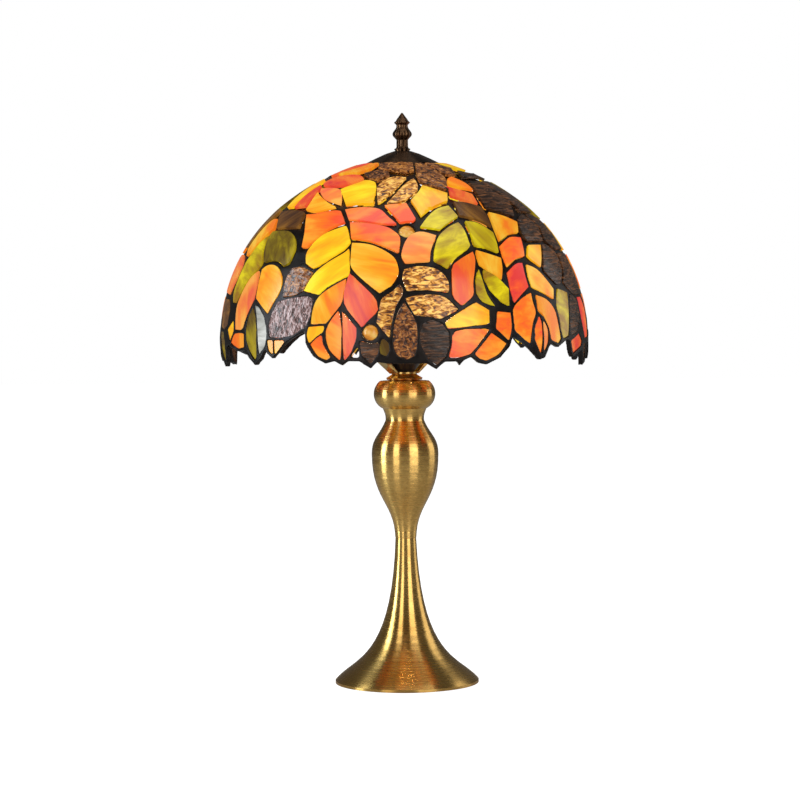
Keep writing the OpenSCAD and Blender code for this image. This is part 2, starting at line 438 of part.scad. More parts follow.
module felt_pad() color("#3b3f2c") tube(foot_d / 2 - wall - 2.3, 8, 0, felt_t);
module bottom_cover() color("#8d8d88") tube(foot_d / 2 - wall - 2.7, 6, plate_z, plate_t);
module weight_disc() color("#55565a") difference() {
    translate([0, 0, weight_z]) cylinder(r = weight_r, h = weight_t);
    translate([0, 0, weight_z - 1]) cylinder(d = pipe_d + 1, h = weight_t + 2);
}
module foot_trumpet() color("#a8823d") difference() {
    turned(concat([[foot_d / 2 - wall - 2, foot_z], [foot_d / 2, foot_z]], foot_curve,
        [[pipe_d / 2 + fit, foot_h], [pipe_d / 2 + fit, foot_h - 12]],
        [for (i = [len(foot_curve) - 1:-1:1]) let (q = foot_curve[i])
            if (q[1] > ledge_z + ledge_t && q[1] < foot_h - 12 && q[0] - wall > pipe_d / 2 + 2)
                [q[0] - wall, q[1]]],
        [[max(ledge_r + 0.4, foot_r(ledge_z + ledge_t) - wall), ledge_z + ledge_t],
        [ledge_r, ledge_z + ledge_t], [ledge_r, ledge_z],
        [foot_r(ledge_z) - wall, ledge_z]],
        [for (i = [len(foot_curve) - 1:-1:1]) let (q = foot_curve[i])
            if (q[1] < ledge_z - 0.5) [q[0] - wall, q[1]]]));
    translate([0, 0, outlet_z]) rotate([-90, 0, 0]) cylinder(d = outlet_d + 2.4 + 2 * fit, h = foot_d);
    translate([0, flange_y, outlet_z]) rotate([-90, 0, 0]) cylinder(d = outlet_d + 4.4 + 2 * fit, h = foot_d);
}
module cable_grommet() color("#1c1a18") difference() {
    inner = foot_r(outlet_z) - wall - 5;
    union() {
        translate([0, inner, outlet_z]) rotate([-90, 0, 0])
            cylinder(d = outlet_d + 2.4, h = flange_y + 1 - inner);
        translate([0, flange_y, outlet_z]) rotate([-90, 0, 0]) cylinder(d = outlet_d + 4.4, h = 1.8);
    }
    translate([0, inner - 1, outlet_z]) rotate([-90, 0, 0]) cylinder(d = outlet_d, h = foot_d);
}
module pipe_washer() color("#b9b9b4") tube(9, pipe_d / 2 + fit, weight_z - washer_h, washer_h);
module pipe_nut() color("#b08d48") difference() {
    translate([0, 0, weight_z - washer_h - nut_h]) cylinder(r = 8, h = nut_h, $fn = 6);
    translate([0, 0, pipe_z - 1]) cylinder(d = pipe_d + 2 * fit, h = nut_h + 4);
}
module threaded_pipe() color("#b9b9b4") tube(pipe_d / 2, pipe_bore / 2, pipe_z, pipe_top - pipe_z);
module waist_ring() color("#a8823d") difference() {
    turned([[0, ring_z], [waist_d / 2 - 0.1, ring_z], [waist_d / 2 + 0.2, ring_z + 0.5],
        [waist_d / 2 + 0.35, ring_z + ring_h / 2], [waist_d / 2 + 0.5, body_z - 0.5],
        [waist_d / 2 + 0.4, body_z], [0, body_z]]);
    translate([0, 0, ring_z - 1]) cylinder(d = pipe_d + 2 * fit, h = ring_h + 2);
}
body_curve = concat(curve([[waist_d / 2 + 0.6, body_z], [waist_d / 2 + 2.9, body_z + 0.23 * body_h],
    [body_d / 2, body_z + 0.28 * body_h], [body_d / 2, body_z + 0.62 * body_h]], 14),
    curve([[body_d / 2, body_z + 0.63 * body_h], [body_d / 2, body_z + 0.76 * body_h],
    [body_d / 2 - 6.6, body_z + 0.78 * body_h], [0.58 * body_d / 2, body_z + 0.9 * body_h]], 10),
    curve([[0.575 * body_d / 2, body_z + 0.915 * body_h], [0.57 * body_d / 2, body_z + 0.94 * body_h],
    [0.6 * body_d / 2, body_z + 0.96 * body_h], [0.66 * body_d / 2, body_z + body_h]], 4));
module hollow(outer, z0, z1, lid) turned(concat([[pipe_d / 2 + fit, z0]], outer, [[pipe_d / 2 + fit, z1],
    [pipe_d / 2 + fit, z1 - lid]], [for (i = [len(outer) - 1:-1:0]) let (q = outer[i])
    if (q[1] > z0 + lid && q[1] < z1 - lid) [max(q[0] - wall, pipe_d / 2 + 1), q[1]]],
    [[pipe_d / 2 + fit, z0 + lid]]));
module baluster_body() color("#a8823d") hollow(body_curve, body_z, ball_z, 5);
module neck_ball() color("#a8823d") hollow([for (a = [-62:8.9:62]) [
    ball_d / 2 - 6 + 6 * cos(a) + 5.5 * (cos(a) - 1) * 1.2,
    ball_z + ball_h / 2 + ball_h / 2 * sin(a) / sin(62)]], ball_z, collar_z, 3);
module top_collar() color("#8f6c30") difference() {
    turned([[0, collar_z], [14.5, collar_z], [15, collar_z + 1.5], [12, collar_z + 3.2],
        [9.5, saddle_z], [0, saddle_z]]);
    translate([0, 0, collar_z - 1]) cylinder(d = pipe_d + 2 * fit, h = collar_h + 2);
}

// ---- Harp
module harp_side(left) rotate([0, 0, harp_turn + (left ? 180 : 0)]) children();
pin_z = socket_z + cone_h + 0.5;
module harp_saddle() color("#b08d48") difference() {
    union() {
        translate([0, 0, saddle_z]) cylinder(r = 10.5, h = strip_t);
        for (left = [true, false]) harp_side(left) {
            translate([0, 5, 0]) rotate([90, 0, 0]) linear_extrude(10) polygon([
                [8, saddle_z], [11.5, saddle_z], [saddle_r + 2, pin_z - 2], [saddle_r + 2, pin_z],
                [saddle_r - 2, pin_z], [10.9, saddle_z + strip_t], [8, saddle_z + strip_t]]);
            translate([saddle_r, 0, pin_z - 1]) cylinder(d = rod_d, h = rod_end - pin_z + 1);
        }
    }
    translate([0, 0, saddle_z - 1]) cylinder(d = pipe_d + 2 * fit, h = strip_t + 2);
}
module ferrule(left) color("#a8823d") harp_side(left) translate([saddle_r, 0, pin_z + 0.5]) difference() {
    union() {
        cylinder(d = rod_d + 3.4, h = ferrule_h);
        translate([0, 0, ferrule_h / 2 - 1.5]) cylinder(d = rod_d + 4.6, h = 3);
    }
    translate([0, 0, -1]) cylinder(d = rod_d + 2 * slide_gap, h = ferrule_h + 2);
}
module harp_ferrule_left() ferrule(true);
module harp_ferrule_right() ferrule(false);
ferrule_travel = 12;
bend_r = harp_r - saddle_r;
bend_z = pin_z + 0.5 + ferrule_h + ferrule_travel + 1;
straight_z = bend_z + 2 * bend_r * sin(60);
arch_r = harp_r - 6;
arch_z = harp_top - arch_r;
// The harp's bent rod in its own plane, from the left foot over the top to the right foot, as [x, z]
function arc(c, r, from, to, n) = [for (i = [1:n]) let (a = from + (to - from) * i / n)
    c + r * [cos(a), sin(a)]];
rod_right = concat([[saddle_r, bend_z - 2], [saddle_r, bend_z]],
    arc([saddle_r + bend_r, bend_z], bend_r, 180, 120, 5),
    arc([harp_r - bend_r, straight_z], bend_r, -60, 0, 5),
    arc([harp_r - arch_r, arch_z], arch_r, 0, 90, 12));
rod_path = concat([for (q = rod_right) [-q[0], q[1]]], [for (i = [len(rod_right) - 1:-1:0]) rod_right[i]]);
rod_sides = 10;
function rod_ring(i) = let (q = rod_path[i], t = unit(rod_path[min(i + 1, len(rod_path) - 1)]
    - rod_path[max(i - 1, 0)]), r = rod_d / 2 - 0.03)
    [for (k = [0:rod_sides - 1]) let (a = k * 360 / rod_sides)
    [q[0] - t[1] * r * cos(a), r * sin(a), q[1] + t[0] * r * cos(a)]];
module bent_rod() {
    n = len(rod_path);
    m = rod_sides;
    polyhedron([for (i = [0:n - 1]) each rod_ring(i)], concat(
        [[for (k = [m - 1:-1:0]) k]], [[for (k = [0:m - 1]) (n - 1) * m + k]],
        [for (i = [0:n - 2], k = [0:m - 1]) let (a = i * m + k, b = i * m + (k + 1) % m) each
            [[a, b + m, a + m], [a, b, b + m]]]));
}
module harp() color("#b08d48") difference() {
    union() {
        rotate([0, 0, harp_turn]) bent_rod();
        for (left = [true, false]) harp_side(left) translate([saddle_r, 0, rod_end])
            cylinder(d = rod_d, h = bend_z - rod_end);
        translate([0, 0, harp_top - rod_d / 2]) cylinder(r = 7.5, h = rod_d);
    }
    translate([0, 0, harp_top - 5]) cylinder(r = 2.6, h = 12);
}
module harp_stud() color("#b08d48") {
    seat = rod_d / 2;
    turned([[0, harp_top - seat - 1.5], [4, harp_top - seat - 1.5], [4, harp_top - seat],
        [2.5, harp_top - seat], [2.5, harp_top + seat], [5.5, harp_top + seat], [5.5, shoulder_z],
        [stud_d / 2, shoulder_z],
        [stud_d / 2, finial_z + 14], [0, finial_z + 14]]);
}

// ---- Socket
sock = socket_d / 2;
module socket_cap() color("#1b1a19") turned([[pipe_d / 2 + fit, socket_z], [8, socket_z], [sock, shell_z],
    [sock - 2, shell_z], [7.6, socket_z + 3], [7.6, socket_z + 3.2], [pipe_d / 2 + fit, socket_z + 3.2]]);
module socket_body() color("#161514") tube(sock, shell_bore / 2 + 1.2, shell_z, socket_h);
module socket_base() color("#d8d2c2") tube(shell_bore / 2 + 1, 3.4, shell_z, 3);
module screw_shell() color("#c8a24a") tube(shell_bore / 2 + 0.7, shell_bore / 2, shell_z + 3, socket_h - 5);
module socket_contact() color("#c8a24a") turned([[0, shell_z + 0.5], [3, shell_z + 0.5], [3, shell_z + 3],
    [4.6, shell_z + 3], [3.4, shell_z + 4.6], [0, shell_z + 5.2]]);
module socket_ring() color("#1b1a19") tube(sock + 2.4, sock + fit, shell_z + socket_h - 10, 7);

// ---- Bulb
module bulb_contact() color("#9a9a96")
    turned([[0, bulb_z - 2], [2.6, bulb_z - 2], [4.6, bulb_z], [0, bulb_z]]);
module bulb_cap() color("#c9c9c4") turned([[5, bulb_z], [9, bulb_z], [cap_d / 2, bulb_z + 4],
    [cap_d / 2, bulb_neck - 0.5], [cap_d / 2 - 0.4, bulb_neck - 0.5], [cap_d / 2 - 0.4, bulb_z + 4.3],
    [8.8, bulb_z + 0.5], [5, bulb_z + 0.5]]);
bulb_r = bulb_d / 2;
bulb_mid = bulb_neck + bulb_h - bulb_r;
function bulb_line(w) = concat([[cap_d / 2 - 0.8 - w, bulb_neck - 4], [cap_d / 2 - 0.8 - w, bulb_neck + 2]],
    [for (a = [-40:10:80]) (bulb_r - w) * [cos(a), sin(a)] + [0, bulb_mid]], [[0, bulb_mid + bulb_r - w]]);
module bulb_glass() color("#f6f2e4") turned(concat(bulb_line(0),
    [for (i = [len(bulb_line(1)) - 1:-1:0]) bulb_line(1)[i]]));
module bulb_stem() color("#e8ece8") turned([[0, bulb_z + 6], [cap_d / 2 - 2.4, bulb_z + 6],
    [4, bulb_neck + 2], [3, bulb_mid - 12], [0, bulb_mid - 12]]);
module filament() color("#a0a0a0") {
    for (side = [-1, 1]) translate([side * 2, 0, bulb_mid - 12]) rotate([0, side * 30, 0])
        cylinder(r = 0.4, h = 16, $fn = 16);
    translate([-10.5, 0, bulb_mid + 2]) rotate([0, 90, 0]) cylinder(r = 0.8, h = 21, $fn = 16);
}

felt_pad();
bottom_cover();
weight_disc();
foot_trumpet();
cable_grommet();
pipe_washer();
pipe_nut();
threaded_pipe();
waist_ring();
baluster_body();
neck_ball();
top_collar();
harp_saddle();
harp_ferrule_left();
harp_ferrule_right();
harp();
harp_stud();
socket_cap();
socket_body();
socket_base();
screw_shell();
socket_contact();
socket_ring();
bulb_contact();
bulb_cap();
bulb_glass();
bulb_stem();
filament();
crown_ring();
vase_cap();
cap_washer();
finial();
solder_lattice();
glass_amber();
glass_yellow();
glass_orange();
glass_red_orange();
glass_peach();
glass_olive();
glass_olive_yellow();
glass_brown();
glass_brown_ripple();
glass_gold_ripple();
glass_mauve_ripple();
glass_dark();
glass_opal();
glass_jewels();
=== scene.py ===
"""Stained glass table lamp: looks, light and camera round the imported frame. Metres, +Z up."""
import json
import math
import random

import bmesh
import bpy
from mathutils import Matrix, Vector, geometry, noise


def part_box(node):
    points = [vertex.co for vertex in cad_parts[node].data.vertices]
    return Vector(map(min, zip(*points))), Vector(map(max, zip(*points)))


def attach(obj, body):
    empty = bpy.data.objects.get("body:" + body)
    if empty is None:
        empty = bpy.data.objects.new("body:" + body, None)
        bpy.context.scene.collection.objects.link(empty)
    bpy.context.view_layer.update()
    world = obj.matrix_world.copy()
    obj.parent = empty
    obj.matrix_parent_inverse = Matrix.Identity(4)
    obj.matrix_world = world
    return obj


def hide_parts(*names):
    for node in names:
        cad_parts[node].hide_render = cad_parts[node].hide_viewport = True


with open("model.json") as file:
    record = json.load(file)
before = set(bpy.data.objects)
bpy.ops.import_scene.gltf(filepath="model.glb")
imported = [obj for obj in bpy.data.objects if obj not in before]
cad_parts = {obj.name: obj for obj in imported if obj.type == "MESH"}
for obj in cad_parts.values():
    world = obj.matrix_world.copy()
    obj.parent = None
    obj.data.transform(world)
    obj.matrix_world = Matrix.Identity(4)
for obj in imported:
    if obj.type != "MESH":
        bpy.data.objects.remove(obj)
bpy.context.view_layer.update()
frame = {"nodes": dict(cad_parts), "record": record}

NODES = frame["nodes"]
MM = 0.001
BODY_OF = {node: body for body, nodes in frame["record"]["behaviour"]["bodies"].items() for node in nodes}
SLOT_OF = {row["node"]: row["material_slot"] for row in frame["record"]["subparts"]}


# ---------------------------------------------------------------- camera
def make_camera():
    """The photograph's view: level with the shade, two metres away, turned half a degree."""
    eye = Vector((-0.0038, -2.15, 0.34))
    aim = Vector((-0.0038, 0.0, 0.2351))
    roll = -0.0093
    ahead = (aim - eye).normalized()
    right = ahead.cross(Vector((0, 0, 1))).normalized()
    up = right.cross(ahead)
    right, up = (right * math.cos(roll) + up * math.sin(roll), up * math.cos(roll) - right * math.sin(roll))
    data = bpy.data.cameras.new("camera")
    data.sensor_width = 36.0
    data.lens = 117.15
    camera = bpy.data.objects.new("camera", data)
    camera.matrix_world = Matrix.Translation(eye) @ Matrix((right, up, -ahead)).transposed().to_4x4()
    bpy.context.scene.collection.objects.link(camera)
    bpy.context.scene.camera = camera


make_camera()


# ---------------------------------------------------------------- material helpers
class Look:
    """A material under construction: short calls that add and join shader nodes."""

    def __init__(self, name, **constants):
        self.material = bpy.data.materials.new(name)
        self.material.use_nodes = True
        self.tree = self.material.node_tree
        self.shader = self.tree.nodes["Principled BSDF"]
        for socket, value in constants.items():
            self.shader.inputs[socket.replace("_", " ")].default_value = value
        self.coordinates = self.tree.nodes.new("ShaderNodeTexCoord").outputs["Object"]

    def add(self, kind, inputs=None, **settings):
        node = self.tree.nodes.new("ShaderNode" + kind)
        for key, value in settings.items():
            setattr(node, key, value)
        for key, value in (inputs or {}).items():
            if isinstance(value, bpy.types.NodeSocket):
                self.tree.links.new(value, node.inputs[key])
            else:
                node.inputs[key].default_value = value
        return node

    def stretched(self, scale, turn=(0, 0, 0)):
        """Object coordinates, scaled and turned."""
        return self.add("Mapping", {"Vector": self.coordinates, "Scale": scale, "Rotation": turn}).outputs[0]

    def noise(self, scale, detail=4.0, rough=0.55, vector=None, distortion=0.0):
        inputs = {"Vector": vector or self.coordinates, "Scale": scale, "Detail": detail, "Roughness": rough,
                  "Distortion": distortion}
        return self.add("TexNoise", inputs).outputs["Fac"]

    def ramp(self, fac, stops):
        node = self.add("ValToRGB", {"Fac": fac})
        marks = node.color_ramp.elements
        while len(marks) < len(stops):
            marks.new(0.5)
        for mark, (place, colour) in zip(marks, stops):
            mark.position = place
            mark.color = (*colour, 1.0)
        return node.outputs["Color"]

    def spread(self, fac, low, high):
        """A 0..1 value spread over low..high."""
        return self.add("MapRange", {"Value": fac, "From Min": 0.3, "From Max": 0.7, "To Min": low,
                                     "To Max": high}).outputs[0]

    def mixed(self, fac, a, b, blend="MIX"):
        node = self.add("Mix", data_type="RGBA", blend_type=blend)
        for socket, value in ((node.inputs[0], fac), (node.inputs[6], a), (node.inputs[7], b)):
            if isinstance(value, bpy.types.NodeSocket):
                self.tree.links.new(value, socket)
            else:
                socket.default_value = value
        return node.outputs[2]

    def bump(self, height, strength, distance):
        normal = self.add("Bump", {"Height": height, "Strength": strength, "Distance": distance}).outputs[0]
        self.tree.links.new(normal, self.shader.inputs["Normal"])

    def link(self, output, socket):
        self.tree.links.new(output, self.shader.inputs[socket])


def brass(name, light, dark, rough, patina=0.35, stretch=0.93):
    """Satin antique brass: turned round the axis, so highlights run up it; cloudy, darker where worn."""
    look = Look(name, Metallic=1.0, Anisotropic=stretch, Anisotropic_Rotation=0.25)
    look.link(look.add("Tangent", direction_type="RADIAL", axis="Z").outputs[0], "Tangent")
    cloud = look.noise(26.0, 6.0, 0.6)
    marks = look.noise(5.0, 3.0, 0.5, look.stretched((1.0, 1.0, 300.0)))
    specks = look.noise(420.0, 2.0, 0.5)
    base = look.ramp(cloud, [(0.3, dark), (0.52, light), (0.75, [min(1.0, c * 1.1) for c in light])])
    worn = look.mixed(look.spread(specks, 0.0, patina), base, (*[c * 0.6 for c in dark], 1.0))
    look.link(worn, "Base Color")
    look.link(look.spread(marks, rough - 0.02, rough + 0.03), "Roughness")
    look.bump(marks, 0.025, 0.0002)
    return look.material


def plain(name, colour, rough, metallic=0.0, grain=300.0, depth=0.15, tone=0.25):
    """A moulded, cast or felted surface: fine grain and a slow change of tone."""
    look = Look(name, Metallic=metallic)
    slow = look.noise(18.0, 4.0)
    fine = look.noise(grain, 4.0, 0.6)
    low = [c * (1 - tone) for c in colour]
    high = [min(1.0, c * (1 + tone)) for c in colour]
    look.link(look.ramp(slow, [(0.3, low), (0.7, high)]), "Base Color")
    look.link(look.spread(fine, rough - 0.05, rough + 0.08), "Roughness")
    look.bump(fine, depth, 0.0003)
    return look.material


def glass_shader(look, colour, height, strength, distance):
    """Most of the colour is painted glow: an emission in the glass's own colours that stands in for the light
    coming through the glass from behind.
    """
    tone = look.mixed(look.add("Attribute", attribute_name="pane").outputs["Fac"], (0.84, 0.84, 0.84, 1.0),
                      (1.08, 1.08, 1.08, 1.0))
    glow = look.mixed(1.0, colour, tone, "MULTIPLY")
    # Painted glow: the panes give off light in their own colours, in place of the bulb's light passing
    # through them.
    look.link(glow, "Emission Color")
    look.link(look.mixed(1.0, colour, (0.3, 0.3, 0.3, 1.0), "MULTIPLY"), "Base Color")
    look.bump(height, strength, distance)
    return look.material


def pane_coordinates(look, scale):
    """Object coordinates turned a different way in every pane, so that the streaks never line up."""
    angle = look.add("Math", {0: look.add("Attribute", attribute_name="pane").outputs["Fac"], 1: 2.6},
                     operation="MULTIPLY").outputs[0]
    turned = look.add("VectorRotate", {"Vector": look.coordinates, "Axis": (0.25, 1.0, 0.1), "Angle": angle},
                      rotation_type="AXIS_ANGLE").outputs[0]
    return look.add("Mapping", {"Vector": turned, "Scale": scale}).outputs[0]


def sheet_glass(name, deep, main, bright, glow=0.72, cover=(0.4, 0.5, 0.6)):
    """Streaky art glass: soft clouds of colour, and finer streaks that run along each sheet."""
    look = Look(name, Roughness=0.25, IOR=1.45, Coat_Weight=0.12, Coat_Roughness=0.08, Emission_Strength=glow)
    streaks = look.noise(1.0, 5.0, 0.6, pane_coordinates(look, (130.0, 60.0, 16.0)), 0.4)
    cloud = look.noise(1.0, 2.0, 0.5, pane_coordinates(look, (34.0, 30.0, 18.0)), 0.6)
    mix = look.mixed(0.45, cloud, streaks)
    colour = look.ramp(mix, [(cover[0], deep), (cover[1], main), (cover[2], bright)])
    return glass_shader(look, colour, streaks, 0.12, 0.0006)


def ripple_glass(name, dark, main, bright, scale, glow=0.6, cover=(0.42, 0.52, 0.66), warp=1.0, coat=0.3):
    """Ripple glass: close wandering ridges; the colour and glow follow them, with a painted highlight on each
    ridge and painted shade in the hollows.
    """
    look = Look(name, Roughness=0.25, IOR=1.45, Coat_Weight=coat, Coat_Roughness=0.1, Emission_Strength=glow)
    ridges_and_painted_glints = look.noise(1.0, 3.0, 0.55, look.stretched(scale), warp)
    cloud = look.noise(30.0, 2.0)
    mix = look.mixed(0.18, ridges_and_painted_glints, cloud)
    # Painted highlight and shade: the bright colour sits on the ridges, the dark colour in the hollows.
    colour = look.ramp(mix, [(cover[0], dark), (cover[1], main), (cover[2], bright)])
    return glass_shader(look, colour, ridges_and_painted_glints, 0.8, 0.0012)


def solder(name):
    """Patinated solder: nearly black, with painted bluish glints: paler bluish patches in its colour, spread
    at random.
    """
    look = Look(name, Metallic=0.6)
    cloud = look.noise(120.0, 5.0, 0.65)
    slow = look.noise(30.0, 3.0)
    # The bluish top of the ramp is a painted glint.
    look.link(look.ramp(slow, [(0.35, (0.004, 0.0025, 0.002)), (0.55, (0.01, 0.006, 0.005)),
                               (0.75, (0.03, 0.034, 0.045))]), "Base Color")
    look.link(look.spread(cloud, 0.26, 0.5), "Roughness")
    look.bump(cloud, 0.35, 0.0006)
    return look.material


LOOKS = {
    "antique_brass": brass("antique_brass", (0.82, 0.52, 0.16), (0.6, 0.34, 0.085), 0.26),
    "bronze_patina": brass("bronze_patina", (0.13, 0.07, 0.035), (0.03, 0.016, 0.01), 0.3, 0.6),
    "lamp_brass": brass("lamp_brass", (0.7, 0.47, 0.16), (0.45, 0.28, 0.08), 0.24, 0.2),
    "steel": plain("steel", (0.55, 0.55, 0.53), 0.32, 1.0, 500.0),
    "cast_weight": plain("cast_weight", (0.06, 0.06, 0.065), 0.6, 0.2, 200.0, 0.5),
    "felt": plain("felt", (0.035, 0.045, 0.025), 0.95, 0.0, 900.0, 0.8),
    "black_phenolic": plain("black_phenolic", (0.012, 0.011, 0.011), 0.32, 0.0, 600.0, 0.08),
    "white_ceramic": plain("white_ceramic", (0.75, 0.73, 0.67), 0.55, 0.0, 400.0, 0.2, 0.08),
    "cap_metal": plain("cap_metal", (0.72, 0.72, 0.7), 0.28, 1.0, 500.0),
    "bulb_frost": plain("bulb_frost", (0.93, 0.88, 0.76), 0.45, 0.0, 700.0, 0.05, 0.05),
    "clear_glass": plain("clear_glass", (0.8, 0.84, 0.82), 0.1, 0.0, 300.0, 0.02, 0.05),
    "solder": solder("solder"),
    "glass_amber": sheet_glass("glass_amber", (0.95, 0.21, 0.012), (0.97, 0.38, 0.014),
                               (0.98, 0.56, 0.05), 0.84),
    "glass_yellow": sheet_glass("glass_yellow", (0.95, 0.36, 0.01), (0.95, 0.53, 0.01),
                                (0.98, 0.74, 0.02), 0.84),
    "glass_orange": sheet_glass("glass_orange", (0.9, 0.09, 0.025), (0.96, 0.19, 0.015),
                                (0.98, 0.36, 0.03), 0.84),
    "glass_red_orange": sheet_glass("glass_red_orange", (0.72, 0.045, 0.04), (0.86, 0.09, 0.028),
                                    (0.93, 0.22, 0.035), 0.84),
    "glass_peach": sheet_glass("glass_peach", (0.86, 0.14, 0.06), (0.94, 0.26, 0.05),
                               (0.97, 0.44, 0.08), 0.84),
    "glass_olive": sheet_glass("glass_olive", (0.1, 0.05, 0.008), (0.22, 0.15, 0.006),
                               (0.46, 0.34, 0.01)),
    "glass_olive_yellow": sheet_glass("glass_olive_yellow", (0.34, 0.17, 0.01), (0.55, 0.4, 0.006),
                                      (0.86, 0.7, 0.008)),
    "glass_brown": sheet_glass("glass_brown", (0.06, 0.022, 0.008), (0.15, 0.06, 0.012), (0.34, 0.15, 0.02)),
    # glass_dark and the three ripple glasses: their bright colours are painted highlights on the ridges,
    # their dark colours painted shade in the hollows.
    "glass_dark": ripple_glass("glass_dark", (0.01, 0.004, 0.002), (0.05, 0.02, 0.008), (0.2, 0.075, 0.025),
                               (60.0, 60.0, 420.0), 0.75, (0.42, 0.53, 0.68), 1.6, 0.08),
    "glass_opal": sheet_glass("glass_opal", (0.2, 0.2, 0.17), (0.5, 0.5, 0.46), (0.76, 0.76, 0.72)),
    "glass_brown_ripple": ripple_glass("glass_brown_ripple", (0.03, 0.009, 0.003), (0.24, 0.075, 0.016),
                                       (0.62, 0.27, 0.06), (230.0, 230.0, 330.0), 0.85),
    "glass_gold_ripple": ripple_glass("glass_gold_ripple", (0.06, 0.016, 0.003), (0.5, 0.18, 0.02),
                                      (1.0, 0.6, 0.14), (170.0, 170.0, 420.0), 1.0, (0.4, 0.49, 0.6)),
    "glass_mauve_ripple": ripple_glass("glass_mauve_ripple", (0.035, 0.014, 0.011), (0.2, 0.085, 0.07),
                                       (0.68, 0.5, 0.5), (480.0, 480.0, 170.0), 0.7, (0.42, 0.5, 0.6), 1.4),
    "glass_jewel": sheet_glass("glass_jewel", (0.3, 0.07, 0.008), (0.75, 0.3, 0.03), (1.0, 0.7, 0.2)),
}


def dress(piece, slot):
    piece.data.materials.clear()
    piece.data.materials.append(LOOKS[slot])


def stand_in(mesh, name, node):
    """A new piece from a mesh, in place of a CAD node, on that node's body."""
    piece = bpy.data.objects.new(name, mesh)
    bpy.context.scene.collection.objects.link(piece)
    dress(piece, SLOT_OF[node])
    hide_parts(node)
    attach(piece, BODY_OF[node])
    return piece


# ---------------------------------------------------------------- the dome, measured on the CAD lattice
LEAD_T = 4.0 * MM                # depth of the solder lattice
WIDEST = max((Vector((math.hypot(v.co.x, v.co.y), v.co.z)) for v in NODES["solder_lattice"].data.vertices),
             key=lambda p: p.x)
SHADE_R = WIDEST.x - LEAD_T / 2
LOW_R = 0.92 * SHADE_R           # the dome's side is this arc, up to JOIN above level
TOP_R = 1.28 * SHADE_R           # and its top is this flatter arc
JOIN = math.radians(52)
LOW_CENTRE = Vector((SHADE_R - LOW_R, WIDEST.y))
TOP_CENTRE = LOW_CENTRE + (LOW_R - TOP_R) * Vector((math.cos(JOIN), math.sin(JOIN)))


# ---------------------------------------------------------------- turned pieces
SHARP = math.radians(38)         # a fold over this is an edge, not part of a curve
LENGTH_JUMP = 6                  # a point where the steps change this much in length is a corner
GRID = 20                        # section points are matched to a twentieth of a millimetre


def section(node):
    """The half-section of a turned CAD node, as one chain of (radius, height); it may end on the axis."""
    whole = bmesh.new()
    whole.from_mesh(NODES[node].data)
    everything = whole.verts[:] + whole.edges[:] + whole.faces[:]
    cut = bmesh.ops.bisect_plane(whole, geom=everything, plane_co=(0, 0.01 * MM, 0),
                                 plane_no=(0, 1, 0))["geom_cut"]
    links = {}

    def key(vertex):
        return (round(vertex.co.x / MM * GRID), round(vertex.co.z / MM * GRID))

    for edge in cut:
        if isinstance(edge, bmesh.types.BMEdge):
            ends = [key(v) for v in edge.verts]
            if min(ends)[0] >= 0 and ends[0] != ends[1]:
                links.setdefault(ends[0], set()).add(ends[1])
                links.setdefault(ends[1], set()).add(ends[0])
    whole.free()
    open_ends = [k for k, near in links.items() if len(near) == 1]
    start = open_ends[0] if open_ends else max(links)
    chain = [start]
    while True:
        step = [k for k in links[chain[-1]] if k not in chain[-3:] and k not in chain[1:]]
        if not step or step[0] == start:
            break
        chain.append(step[0])
    return [Vector((x / GRID * MM, z / GRID * MM)) for x, z in chain], not open_ends


def catmull(a, b, c, d, t):
    """The point at t (0..1) between b and c on a smooth curve through a, b, c and d."""
    return 0.5 * (2 * b + (c - a) * t + (2 * a - 5 * b + 4 * c - d) * t * t
                  + (3 * b - a - 3 * c + d) * t ** 3)


def smoothed(points, closed, steps, sharp):
    """A curve through the points that keeps the corners sharper than the given angle."""
    count = len(points)

    def at(i):
        return points[i % count] if closed else points[max(0, min(count - 1, i))]

    def corner(i):
        before, after = at(i) - at(i - 1), at(i + 1) - at(i)
        if before.length < 1e-7 or after.length < 1e-7:
            return True
        short, long = sorted((before.length, after.length))
        return before.angle(after) > sharp or long > LENGTH_JUMP * short

    result = []
    for i in range(count if closed else count - 1):
        b, c = at(i), at(i + 1)
        a = b if corner(i) else at(i - 1)
        d = c if corner(i + 1) else at(i + 2)
        result += [catmull(a, b, c, d, step / steps) for step in range(steps)]
    return result if closed else result + [points[-1]]


def lathe(name, chain, closed, sides=120, swell=None):
    """A turned solid from its half-section; swell(angle, height) adds to the radius."""
    mesh = bpy.data.meshes.new(name)
    if not closed:
        chain = [Vector((0, chain[0].y))] + [p for p in chain if p.x > 0.2 * MM] + [Vector((0, chain[-1].y))]
    body = bmesh.new()
    rings = []
    for p in chain:
        if p.x < 1e-6:
            rings.append([body.verts.new((0, 0, p.y))] * sides)
            continue
        ring = []
        for k in range(sides):
            angle = 2 * math.pi * k / sides
            radius = p.x + (swell(angle, p.x, p.y) if swell else 0.0)
            ring.append(body.verts.new((radius * math.cos(angle), radius * math.sin(angle), p.y)))
        rings.append(ring)
    for low, high in zip(rings, rings[1:] + (rings[:1] if closed else [])):
        for k in range(sides):
            n = (k + 1) % sides
            corners = [low[k], low[n], high[n], high[k]]
            corners = [c for i, c in enumerate(corners) if c is not corners[i - 1]]
            if len(corners) > 2:
                body.faces.new(corners)
    bmesh.ops.recalc_face_normals(body, faces=body.faces)
    body.to_mesh(mesh)
    body.free()
    mesh.shade_smooth()
    mesh.set_sharp_from_angle(angle=SHARP)
    return mesh


def turn_smooth(node, sharp=SHARP, steps=5, swell=None):
    chain, closed = section(node)
    mesh = lathe(node + "_turned", smoothed(chain, closed, steps, sharp), closed, swell=swell)
    return stand_in(mesh, node + "_turned", node)


